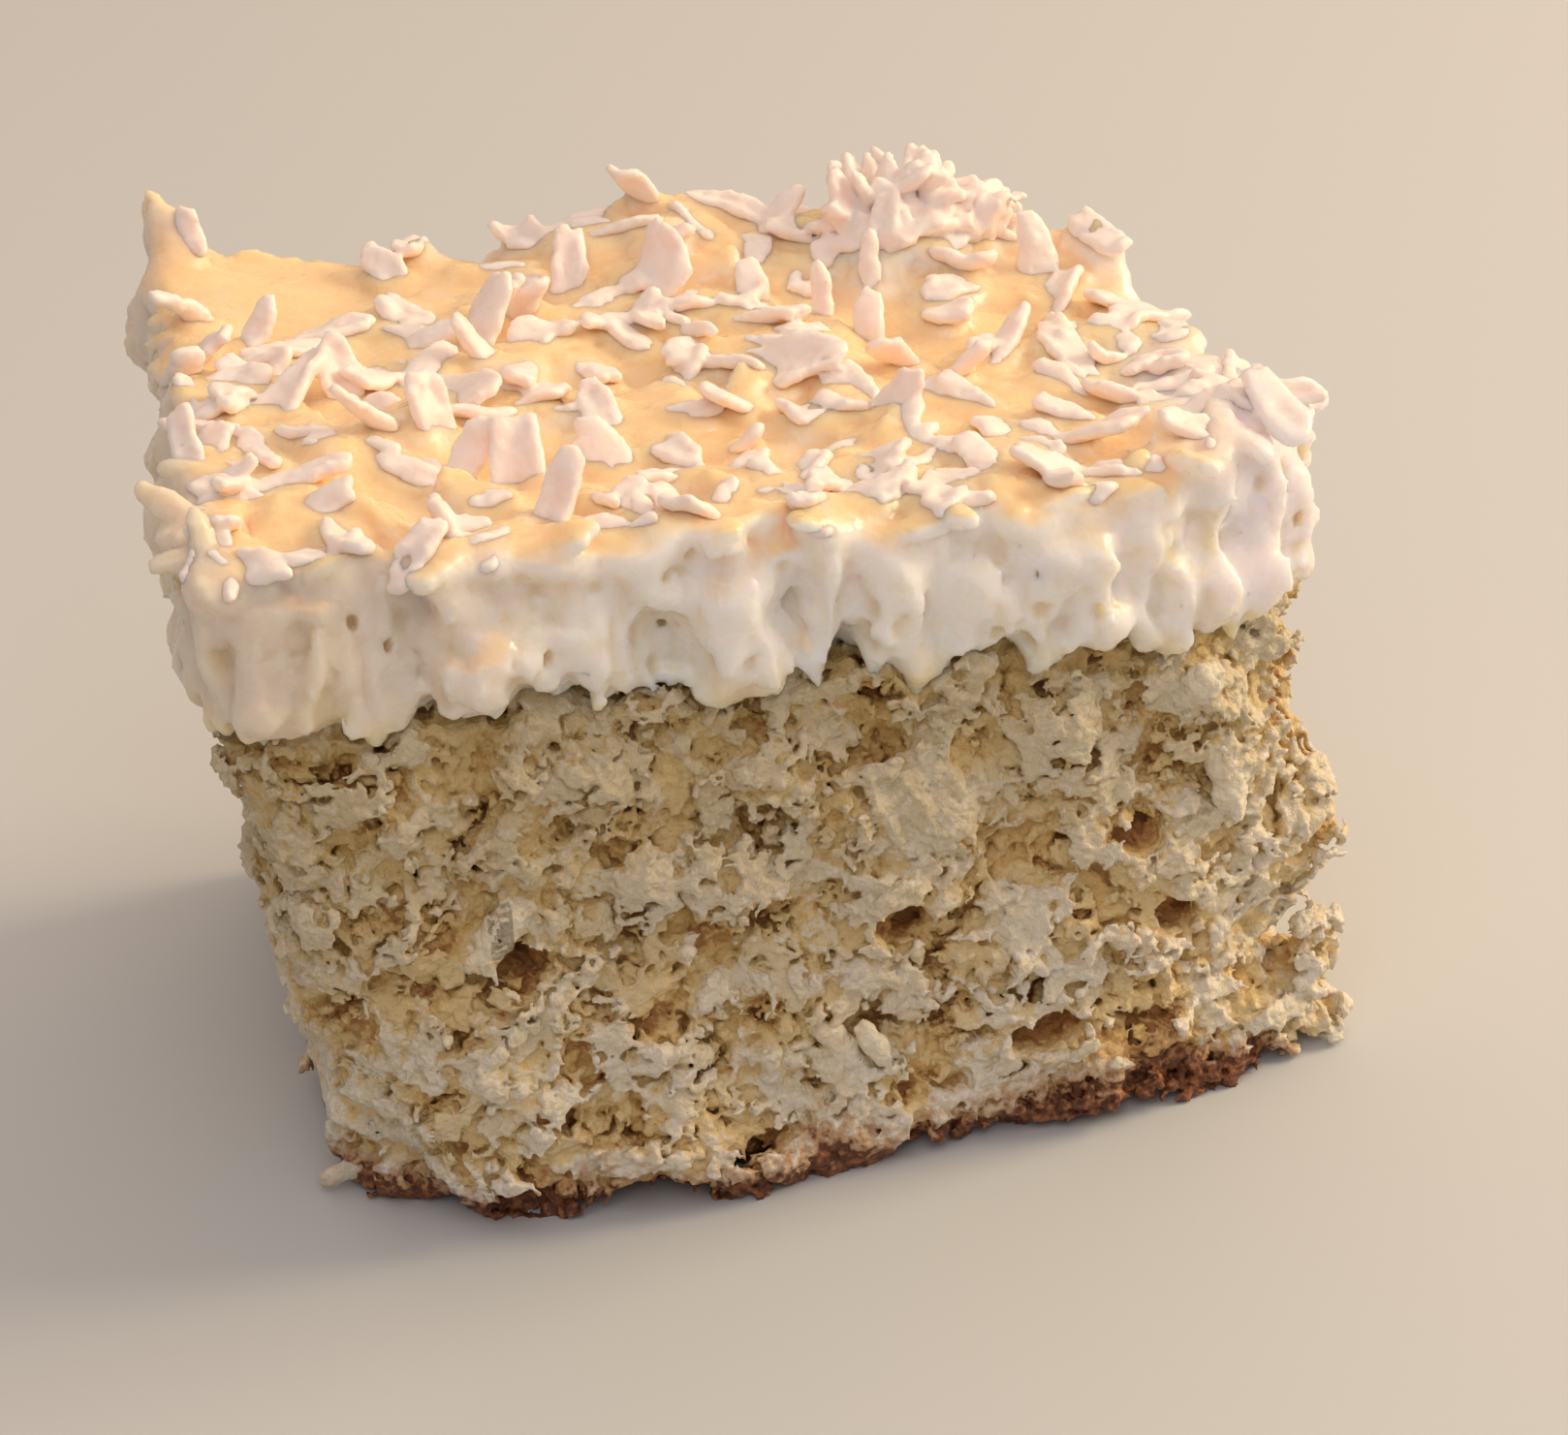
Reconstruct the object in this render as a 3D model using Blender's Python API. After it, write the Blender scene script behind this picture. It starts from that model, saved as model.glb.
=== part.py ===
"""Coconut cake: a hand-cut square of coconut sponge under a thick layer of frosting and flakes."""

import math
import random

import bmesh
import bpy
import numpy as np
from mathutils import Matrix, Vector, noise

# All sizes are in millimetres, and meshes are scaled to metres as they become objects.
# X runs along the cut front from left to right, Y to the back, Z up. The origin is on the
# underside, in the middle of the whole slice's box.
MM = 0.001
FULL_TURN = 2 * math.pi
PLAN_SHIFT = (-0.6, 1.0)  # moves the slice so that the origin is under the middle of its box

# Knife cuts round the slice: azimuth of the outward normal in degrees, distance from the origin
# at the underside, and how far the cut leans out for each millimetre of height.
KNIFE_CUTS = {
    "front": (270.0, 24.3, -0.02),
    "front_left": (221.0, 30.4, 0.26),
    "left": (174.5, 26.0, 0.09),
    "back": (80.0, 17.4, 0.02),
    "right": (5.8, 29.9, -0.03),
    "front_right": (298.0, 32.0, -0.03),
}
CUT_SHARPNESS = 22  # the higher, the tighter the corners between the cuts

# Sponge.
SPONGE_HEIGHT = 32.9
SPONGE_FALL = 0.05  # the top of the sponge falls to the right by this much for each millimetre
CLUMP_SIZE = 4.6
CLUMP_DEPTH = 2.8
CLUMP_LEVEL = 0.35  # how far from a clump's middle, in clump sizes, its surface is level with the cut
WAVE_SIZE = 13.0
WAVE_DEPTH = 0.9
UNDERSIDE_INSET = 0.4
CRUST_HEIGHT = 1.4
# Torn places on the corners: azimuth in degrees, height, size and how far each stands out.
BULGES = {
    "right_shoulder": (-31.5, 14.4, 3.8, 2.3),
    "right_foot": (-33.0, 1.0, 3.0, 2.4),
    "right_waist": (-32.0, 7.4, 2.8, -1.4),
    "left_foot": (211.0, 4.0, 4.0, 0.8),
}

# Frosting.
GAP = 0.35  # between the sponge and the frosting
SHOULDER = 2.4  # width of the sloping edge on which the frosting grips the sponge
FROSTING_TOP = 40.2
FROSTING_FALL = 0.07
OVERHANG = 0.35
RAGGED_DEPTH = 0.9
RAGGED_SIZE = 4.2
STREAK_DEPTH = 0.9
STREAK_SIZE = 2.7
# Tongues of frosting over the cut front: place along X, width and how far each hangs.
TONGUES = {
    "left_tip": (-24.0, 1.7, 2.2),
    "middle_bib": (-4.5, 3.4, 1.5),
    "middle_tip": (6.6, 1.2, 1.3),
    "right_tip": (13.2, 1.3, 1.0),
    "corner_bib": (20.8, 1.8, 1.2),
    "corner_tip": (24.8, 1.3, 2.0),
}
# Lumps and hollows of the spread frosting: X, Y, size and height.
LUMPS = {
    "back_left_peak": (-27.2, 21.2, 2.3, 4.4),
    "back_left_hollow": (-19.0, 12.0, 7.0, -1.0),
    "back_wave": (3.0, 16.5, 7.0, 2.8),
    "heap_mound": (15.5, 10.5, 5.0, 3.4),
    "back_right_dollop": (27.0, 8.0, 3.4, 3.0),
    "front_right_chunk": (27.0, -17.5, 4.2, 2.0),
    "middle_hollow": (-4.0, -12.0, 6.0, -0.9),
    "left_ridge": (-24.0, -8.0, 6.0, 0.6),
}
RIPPLE_SIZE = 7.0
RIPPLE_HEIGHT = 0.7
# The side of the frosting from its lower edge to the top: reach beyond the cut, share of height.
SIDE_PROFILE = ((0.2, 0.12), (0.4, 0.4), (0.2, 0.68), (-0.5, 0.9), (-1.8, 1.0))
TOP_RINGS = (0.86, 0.76, 0.66, 0.55, 0.44, 0.33, 0.21, 0.09)

# Coconut flakes.
FLAKE_COUNT = 128
FLAKE_SEED = 7
FLAKE_LENGTHS = (3.2, 6.8)
FLAKE_WIDTHS = (1.3, 2.7)
FLAKE_THICKNESS = 0.8
FLAKE_SPACING = 3.6
CROWDING = 0.9995  # how much closer together the flakes may lie after each try
STANDING_SHARE = 0.3
STANDING_RISE = (35.0, 68.0)
LYING_RISE = (4.0, 24.0)
FLAKE_BODY = 0.76  # share of the length between the pointed ends
FLAKE_TAPER = 0.4
FLAKE_BEND = 0.06
FLAKE_BEDDED = 0.3  # share of a rising flake's length that is sunk in the frosting
# Large flakes: X, Y, length, width, heading and rise in degrees.
LARGE_FLAKES = {
    "broad_chip": (5.0, -3.5, 6.2, 3.6, -25.0, 24.0),
    "tall_chip": (0.5, 8.5, 5.6, 3.4, 60.0, 58.0),
    "hanging_strand": (0.8, 2.6, 4.8, 0.9, -70.0, 20.0),
    "upright_pair_left": (9.0, 4.5, 4.6, 1.2, 75.0, 62.0),
    "upright_pair_right": (12.5, 6.5, 4.4, 1.1, 80.0, 60.0),
    "back_right_chip": (22.5, 6.0, 6.0, 2.3, 85.0, 66.0),
    "oval_chip": (-14.0, -2.5, 6.4, 3.0, -48.0, 16.0),
    "left_chip": (-22.5, -1.5, 6.6, 2.6, 45.0, 22.0),
    "left_upright": (-29.4, -9.5, 5.4, 1.6, 85.0, 60.0),
    "front_left_long": (-24.5, -12.5, 6.6, 1.6, -6.0, 12.0),
    "front_left_second": (-24.2, -15.8, 5.2, 2.0, -4.0, 16.0),
    "front_left_chip": (-12.6, -12.8, 5.6, 3.0, 78.0, 48.0),
    "front_chip": (4.2, -20.5, 5.8, 2.0, 4.0, 20.0),
    "front_right_chip": (18.0, -16.0, 6.4, 3.0, -38.0, 26.0),
    "front_right_long": (20.0, -20.8, 5.4, 1.5, -16.0, 14.0),
    "heap_point": (17.4, 10.8, 5.2, 1.8, 65.0, 68.0),
    "heap_left": (8.5, 13.2, 5.6, 2.0, 20.0, 34.0),
    "heap_middle": (13.0, 12.4, 5.4, 1.9, 110.0, 56.0),
    "heap_right": (20.6, 9.6, 5.2, 1.8, 50.0, 60.0),
    "heap_low": (15.0, 8.0, 5.4, 2.4, 10.0, 30.0),
}
# Bare patches of frosting, where no flakes lie: X, Y and the half lengths along X and Y.
BARE_PATCHES = {
    "back_left": (-15.0, 16.0, 13.0, 5.2),
    "middle_front": (-3.5, -15.0, 8.0, 3.6),
}

OUTLINE_STEPS = 1441
COLUMNS = 116
SPONGE_ROWS = 15


def cut_radius(angle, height):
    """Distance from the axis to the knife cuts, in the direction of angle."""
    total = 0.0
    for azimuth, distance, lean in KNIFE_CUTS.values():
        facing = math.cos(angle - math.radians(azimuth))
        total += (max(facing, 0.0) / (distance + lean * height)) ** CUT_SHARPNESS
    return total ** (-1 / CUT_SHARPNESS)


def even_angles(count):
    """Angles that divide the outline halfway up the slice into equal lengths."""
    fine = np.linspace(0.0, FULL_TURN, OUTLINE_STEPS)
    radii = np.array([cut_radius(angle, SPONGE_HEIGHT / 2) for angle in fine])
    outline = np.stack((radii * np.cos(fine), radii * np.sin(fine)), axis=1)
    walked = np.concatenate(([0.0], np.cumsum(np.linalg.norm(np.diff(outline, axis=0), axis=1))))
    return np.interp(np.linspace(0.0, walked[-1], count, endpoint=False), walked, fine)


def hump(distance, size):
    """A smooth hump, 1 at its middle and near 0 beyond twice its size."""
    return math.exp(-((distance / size) ** 2))


def on_angle(angle, radius, height):
    return Vector((radius * math.cos(angle), radius * math.sin(angle), height))


def bulge(angle, radius, height):
    """How far the torn corners stand out at a place on the side of the sponge."""
    total = 0.0
    for azimuth, middle, size, reach in BULGES.values():
        turn = math.remainder(angle - math.radians(azimuth), FULL_TURN)
        total += reach * hump(math.hypot(turn * radius, height - middle), size)
    return total


def sponge_radius(angle, height):
    """Distance from the axis to the torn side of the sponge, with its clumps and pits."""
    radius = cut_radius(angle, height)
    place = on_angle(angle, radius, height)
    nearest = noise.voronoi(place / CLUMP_SIZE)[0][0]
    relief = CLUMP_DEPTH * (CLUMP_LEVEL - nearest) + WAVE_DEPTH * noise.noise(place / WAVE_SIZE)
    inset = UNDERSIDE_INSET * hump(height, CRUST_HEIGHT)
    return radius + relief + bulge(angle, radius, height) - inset


def sponge_top(x):
    """Height of the flat top of the sponge, under the frosting."""
    return SPONGE_HEIGHT - SPONGE_FALL * x


def frosting_edge(angle):
    """Height of the ragged lower edge of the frosting."""
    place = on_angle(angle, cut_radius(angle, SPONGE_HEIGHT), SPONGE_HEIGHT)
    ragged = RAGGED_DEPTH * noise.noise(place / RAGGED_SIZE)
    hanging = 0.0
    if place.y < 0:
        hanging = sum(reach * hump(place.x - x, width) for x, width, reach in TONGUES.values())
    return sponge_top(place.x) - SHOULDER / 2 + ragged - hanging


def frosting_top(x, y):
    """Height of the spread frosting, with its lumps, hollows and ripples."""
    height = FROSTING_TOP - FROSTING_FALL * x
    for lump_x, lump_y, size, rise in LUMPS.values():
        height += rise * hump(math.hypot(x - lump_x, y - lump_y), size)
    return height + RIPPLE_HEIGHT * noise.noise(Vector((x, y, 0.0)) / RIPPLE_SIZE)


def drum(rows):
    """A closed drum of COLUMNS by rows, with the column and row of each of its points."""
    mesh = bmesh.new()
    bmesh.ops.create_cone(
        mesh, cap_ends=True, segments=COLUMNS, radius1=1.0, radius2=1.0, depth=float(rows)
    )
    upright = [edge for edge in mesh.edges if abs(edge.verts[0].co.z - edge.verts[1].co.z) > 0.5]
    bmesh.ops.subdivide_edges(mesh, edges=upright, cuts=rows - 1, use_grid_fill=True)
    places = {}
    for vert in mesh.verts:
        turn = math.atan2(vert.co.y, vert.co.x) % FULL_TURN
        column = round(turn / FULL_TURN * COLUMNS) % COLUMNS
        places[vert] = (column, round(vert.co.z + rows / 2))
    return mesh, places


def finish(name, mesh, material):
    """The mesh as a named object in metres, with smooth shading."""
    bmesh.ops.recalc_face_normals(mesh, faces=mesh.faces)
    bmesh.ops.translate(mesh, vec=(*PLAN_SHIFT, 0.0), verts=mesh.verts)
    bmesh.ops.scale(mesh, vec=(MM, MM, MM), verts=mesh.verts)
    data = bpy.data.meshes.new(name)
    mesh.to_mesh(data)
    mesh.free()
    data.materials.append(material)
    data.shade_smooth()
    piece = bpy.data.objects.new(name, data)
    bpy.context.collection.objects.link(piece)
    return piece


def surface(name, colour, roughness):
    material = bpy.data.materials.new(name)
    material.use_nodes = True
    shader = material.node_tree.nodes["Principled BSDF"]
    shader.inputs["Base Color"].default_value = (*colour, 1.0)
    shader.inputs["Roughness"].default_value = roughness
    shader.inputs["Metallic"].default_value = 0.0
    return material


def grip(angle, lift):
    """Outer and inner points of the sloping edge between sponge and frosting, raised by lift."""
    edge = frosting_edge(angle)
    radius = sponge_radius(angle, edge)
    inner = on_angle(angle, radius - SHOULDER, 0.0)
    inner.z = sponge_top(inner.x) + lift
    return on_angle(angle, radius, edge + lift), inner


def split_slope(mesh, places, inner_row, outer_row):
    """Splits the sloping edge along the same diagonals in the sponge as in the frosting."""
    verts = {place: vert for vert, place in places.items()}
    for column in range(COLUMNS):
        pair = [verts[column, inner_row], verts[(column + 1) % COLUMNS, outer_row]]
        bmesh.ops.connect_verts(mesh, verts=pair)


def make_sponge():
    """The sponge: a torn side on a flat underside, with a sloping edge round its flat top."""
    mesh, places = drum(SPONGE_ROWS + 1)
    angles = even_angles(COLUMNS)
    for vert, (column, row) in places.items():
        angle = angles[column]
        outer, inner = grip(angle, -GAP)
        if row > SPONGE_ROWS:
            vert.co = inner
        elif row == SPONGE_ROWS:
            vert.co = outer
        else:
            height = outer.z * row / SPONGE_ROWS
            vert.co = on_angle(angle, sponge_radius(angle, height), height)
    split_slope(mesh, places, SPONGE_ROWS + 1, SPONGE_ROWS)
    return finish("sponge", mesh, surface("sponge", (0.68, 0.5, 0.27), 0.85))


def ridge_radius(angle):
    """Distance from the axis to the line where the side of the frosting turns into its top."""
    return cut_radius(angle, FROSTING_TOP) + OVERHANG + SIDE_PROFILE[-1][0]


def frosting_side(angle, reach, share):
    """A point on the side of the frosting, by its reach beyond the cut and share of the height."""
    edge = frosting_edge(angle)
    ridge = on_angle(angle, ridge_radius(angle), 0.0)
    height = edge + share * (frosting_top(ridge.x, ridge.y) - edge)
    radius = cut_radius(angle, height) + OVERHANG + reach
    place = on_angle(angle, radius, 0.0)
    streak = STREAK_DEPTH * noise.noise(place / STREAK_SIZE) * (1.0 - share)
    return on_angle(angle, radius + streak, height)


def make_frosting():
    """The frosting: it grips the sponge's sloping edge, hangs over it and is rippled on top."""
    side_end = 1 + len(SIDE_PROFILE)
    mesh, places = drum(side_end + len(TOP_RINGS))
    angles = even_angles(COLUMNS)
    for vert, (column, row) in places.items():
        angle = angles[column]
        outer, inner = grip(angle, 0.0)
        if row == 0:
            vert.co = inner
        elif row == 1:
            vert.co = outer
        elif row <= side_end:
            vert.co = frosting_side(angle, *SIDE_PROFILE[row - 2])
        else:
            radius = ridge_radius(angle) * TOP_RINGS[row - side_end - 1]
            vert.co = on_angle(angle, radius, 0.0)
            vert.co.z = frosting_top(vert.co.x, vert.co.y)
    split_slope(mesh, places, 0, 1)
    caps = [face for face in mesh.faces if len(face.verts) == COLUMNS]
    crown = max(caps, key=lambda face: face.calc_center_median().z)
    middle = bmesh.ops.poke(mesh, faces=[crown])["verts"][0]
    middle.co.z = frosting_top(middle.co.x, middle.co.y)
    return finish("frosting", mesh, surface("frosting", (0.92, 0.8, 0.58), 0.4))


def flakes():
    """Every flake as X, Y, length, width, heading and rise: the large ones, then a scatter."""
    found = list(LARGE_FLAKES.values())
    draw = random.Random(FLAKE_SEED)
    spacing = FLAKE_SPACING
    while len(found) < FLAKE_COUNT:
        angle = draw.uniform(0.0, FULL_TURN)
        radius = ridge_radius(angle) * math.sqrt(draw.uniform(0.0, 1.0))
        x = radius * math.cos(angle)
        y = radius * math.sin(angle)
        standing = draw.random() < STANDING_SHARE
        rise = draw.uniform(*(STANDING_RISE if standing else LYING_RISE))
        length = draw.uniform(*FLAKE_LENGTHS)
        width = draw.uniform(*FLAKE_WIDTHS)
        heading = draw.uniform(0.0, 360.0)
        bare = any(
            math.hypot((x - patch_x) / half_x, (y - patch_y) / half_y) < 1.0
            for patch_x, patch_y, half_x, half_y in BARE_PATCHES.values()
        )
        crowded = any(math.hypot(x - flake[0], y - flake[1]) < spacing for flake in found)
        if not bare and not crowded:
            found.append((x, y, length, width, heading, rise))
        spacing *= CROWDING
    return found


def make_flake(x, y, length, width, heading, rise):
    """A thin pointed flake of four sides, bedded in the frosting at one end."""
    mesh = bmesh.new()
    bmesh.ops.create_cone(
        mesh, cap_ends=True, segments=4, radius1=0.5, radius2=0.5, depth=FLAKE_BODY * length
    )
    upright = [edge for edge in mesh.edges if abs(edge.verts[0].co.z - edge.verts[1].co.z) > 0.1]
    bmesh.ops.subdivide_edges(mesh, edges=upright, cuts=1)
    caps = [face for face in mesh.faces if abs(face.normal.z) > 0.9]
    for tip in bmesh.ops.poke(mesh, faces=caps)["verts"]:
        tip.co.z = math.copysign(length / 2, tip.co.z)
    for vert in mesh.verts:
        along = 2.0 * vert.co.z / length
        taper = 1.0 - FLAKE_TAPER * along * along
        vert.co.x *= width * taper
        vert.co.y = vert.co.y * FLAKE_THICKNESS * taper + FLAKE_BEND * length * along * along
    climb = math.sin(math.radians(rise))
    surface_height = frosting_top(x, y)
    lift = length * climb * (0.5 - FLAKE_BEDDED)
    place = Matrix.Translation((x, y, surface_height + lift))
    place @= Matrix.Rotation(math.radians(heading), 4, "Z")
    place @= Matrix.Rotation(-math.radians(rise), 4, "Y")
    place @= Matrix.Rotation(math.radians(90), 4, "Y") @ Matrix.Rotation(math.radians(90), 4, "Z")
    bmesh.ops.transform(mesh, matrix=place, verts=mesh.verts)
    return mesh


def keep_largest_shell(data):
    """Drops each loose scrap and sealed hollow that a union has left."""
    mesh = bmesh.new()
    mesh.from_mesh(data)
    unseen = set(mesh.verts)
    shells = []
    while unseen:
        front = [unseen.pop()]
        shell = list(front)
        while front:
            vert = front.pop()
            near = [edge.other_vert(vert) for edge in vert.link_edges]
            fresh = [other for other in near if other in unseen]
            unseen.difference_update(fresh)
            shell += fresh
            front += fresh
        shells.append(shell)
    shells.sort(key=len)
    for shell in shells[:-1]:
        bmesh.ops.delete(mesh, geom=shell, context="VERTS")
    mesh.to_mesh(data)
    mesh.free()


def fuse_flakes(frosting):
    """Joins the flakes to the frosting with one union, and leaves only the joined solid."""
    heap = bpy.data.collections.new("flakes")
    bpy.context.scene.collection.children.link(heap)
    coconut = surface("coconut", (0.9, 0.82, 0.7), 0.5)
    for number, flake in enumerate(flakes()):
        piece = finish(f"flake_{number:03d}", make_flake(*flake), coconut)
        bpy.context.collection.objects.unlink(piece)
        heap.objects.link(piece)
    union = frosting.modifiers.new("flakes", "BOOLEAN")
    union.operation = "UNION"
    union.operand_type = "COLLECTION"
    union.collection = heap
    union.solver = "EXACT"
    bpy.context.view_layer.update()
    graph = bpy.context.evaluated_depsgraph_get()
    joined = bpy.data.meshes.new_from_object(frosting.evaluated_get(graph))
    frosting.modifiers.remove(union)
    plain = frosting.data
    frosting.data = joined
    bpy.data.meshes.remove(plain)
    joined.name = "frosting"
    keep_largest_shell(joined)
    for piece in list(heap.objects):
        bpy.data.objects.remove(piece)
    bpy.data.collections.remove(heap)


for leftover in list(bpy.data.objects):
    bpy.data.objects.remove(leftover)
make_sponge()
fuse_flakes(make_frosting())
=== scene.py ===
"""The finish of a hand-cut slice of coconut cake: torn sponge, creamy frosting and flakes."""

import math
import random

import bmesh
import bpy
import numpy as np
from mathutils import Matrix, Vector, noise


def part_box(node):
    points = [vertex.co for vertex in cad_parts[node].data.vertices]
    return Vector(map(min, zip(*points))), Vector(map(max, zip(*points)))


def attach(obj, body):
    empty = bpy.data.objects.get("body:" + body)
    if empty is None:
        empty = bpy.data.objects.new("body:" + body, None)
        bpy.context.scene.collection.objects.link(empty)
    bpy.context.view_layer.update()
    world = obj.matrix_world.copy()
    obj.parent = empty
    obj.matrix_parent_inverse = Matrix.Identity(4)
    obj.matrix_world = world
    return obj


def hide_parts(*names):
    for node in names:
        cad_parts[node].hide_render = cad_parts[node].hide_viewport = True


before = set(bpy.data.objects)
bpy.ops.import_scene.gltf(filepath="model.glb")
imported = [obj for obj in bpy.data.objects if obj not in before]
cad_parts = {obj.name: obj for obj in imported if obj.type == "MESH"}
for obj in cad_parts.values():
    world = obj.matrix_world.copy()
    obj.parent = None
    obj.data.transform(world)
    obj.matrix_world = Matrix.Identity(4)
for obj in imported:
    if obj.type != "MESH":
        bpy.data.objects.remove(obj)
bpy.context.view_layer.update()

# Shapes are worked out in millimetres and become meshes in metres.
MM = 0.001
FULL_TURN = 2 * math.pi
PLAN_SHIFT = (-0.6, 1.0)  # from the middle that the knife cuts are measured from to the origin

# The slice's form, as the solids have it: knife cuts by azimuth of the outward normal, distance
# from the middle at the underside, and lean for each millimetre of height.
KNIFE_CUTS = {
    "front": (270.0, 24.3, -0.02),
    "front_left": (221.0, 30.4, 0.26),
    "left": (174.5, 26.0, 0.09),
    "back": (80.0, 17.4, 0.02),
    "right": (5.8, 29.9, -0.03),
    "front_right": (298.0, 32.0, -0.03),
}
CUT_SHARPNESS = 22
SPONGE_HEIGHT = 32.9
SPONGE_FALL = 0.05  # the slice is lower to the right, by so much for each millimetre
SHOULDER = 2.4
FROSTING_TOP = 40.2
FROSTING_FALL = 0.07
OVERHANG = 0.35
RAGGED_DEPTH = 0.9
RAGGED_SIZE = 4.2
# Tongues of frosting over the front of the sponge: X, width, and how far each hangs.
TONGUES = {
    "left_tip": (-24.0, 1.7, 2.2),
    "middle_bib": (-4.5, 3.4, 1.5),
    "middle_tip": (6.6, 1.2, 1.3),
    "right_tip": (13.2, 1.3, 1.0),
    "corner_bib": (20.8, 1.8, 1.2),
    "corner_tip": (24.8, 1.3, 2.0),
}
# Lumps and hollows of the spread frosting: X, Y, size and rise.
LUMPS = {
    "back_left_peak": (-27.2, 21.2, 2.3, 4.4),
    "back_left_hollow": (-19.0, 12.0, 7.0, -1.0),
    "back_wave": (3.0, 16.5, 7.0, 2.8),
    "heap_mound": (15.5, 10.5, 5.0, 3.4),
    "back_right_dollop": (27.0, 8.0, 3.4, 3.0),
    "front_right_chunk": (27.0, -17.5, 4.2, 2.0),
    "middle_hollow": (-4.0, -12.0, 6.0, -0.9),
    "left_ridge": (-24.0, -8.0, 6.0, 0.6),
}
RIPPLE_SIZE = 7.0
RIPPLE_HEIGHT = 0.7
# How far the side of the frosting stands out, at shares of the way up from its lower edge.
SIDE_REACH = (0.2, 0.4, 0.2, -0.5, -1.8)
SIDE_SHARE = (0.12, 0.4, 0.68, 0.9, 1.0)

# Finer forms of the frosting.
FORM_COLUMNS = 640
SLOPE_ROWS = 3
SIDE_ROWS = 24
TOP_ROWS = 34
BEDDED_EDGE = 0.7  # how far the frosting sinks into the torn crumb below it
DRAG_WIDTH = 3.3  # ridges that the knife drew down the cut frosting
DRAG_LENGTH = 15.0
DRAG_DEPTH = 3.6
DRAG_MIDDLE = 0.17  # what drag_at gives where a ridge turns into a groove
DRAG_FADE = (0.12, 0.8)  # where on half a wave the ridges start, and the part of it they run over
TEAR_SIZE = 3.6
TEAR_DEPTH = 1.9
TEAR_LOW = (0.35, 2.5)  # share of their depth at the lower edge, and its growth up the side
TEAR_HIGH = 0.3  # share of their depth that is gone at the ridge
TIP_DROP = 7.5  # each ridge ends in a pointed tip
TIP_SHARES = (0.5, 1.7)  # a tip's usual share of that drop, and how far the share varies
TIP_LEAST = 0.1
TIP_PATCHES = 6.0
TIP_SLIDE = (9.0, 0.0, 0.0)
TIP_MIDDLE = 0.6  # where a tip's arc crosses the plain edge, as a share of DRAG_MIDDLE
EDGE_CRUMBLE = 0.8
CRUMBLE_SIZE = 0.9
EDGE_REACH = -1.0  # the lower edge thins out into the crumb
RIDGE_SIZE = 3.4
RIDGE_WAVE = 1.3
RIDGE_FADE = (3, 12)  # how fast the ridge's waves fade down the side and in over the top
SWIRL_SIZE = (9.0, 3.6)
SWIRL_HEIGHT = 0.7
SWIRL_FADE = 6
FINE_DRAG = (1.1, 1.1, 5.0)
FINE_DRAG_DEPTH = 1.0
CREAM_GRAIN = 1.3
CREAM_GRAIN_HEIGHT = 0.5
PIT_SIZE = 2.2
PIT_DEPTH = 0.9
PIT_WALL = (0.05, 0.3)
PIT_LENGTH = 0.7
# Smears one on another down the cut frosting: size, the level that each starts at, and its depth.
SMEARS = ((4.6, 0.50, 0.28), (3.2, 0.56, 0.24))
SMEAR_LOBES = ((1.6, 0.17), (0.8, 0.07))
SMEAR_LENGTH = 0.75
SMEAR_EDGE = 0.05
SMEAR_START = 3
UPRIGHT = (0.35, 0.8)  # how steep the cut side is where pits and smears start, and are whole
CLIMB = (0.3, 1.3, 0.5)  # 0.3 mm from a flake the frosting climbs by 0.5 mm, at 1.3 mm by none
COAT = 0.45  # thickness of the frosting over the flakes that it covers
COAT_FOOT = (1.6, 0.5)  # how far from those flakes it still swells, and by how much

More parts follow.
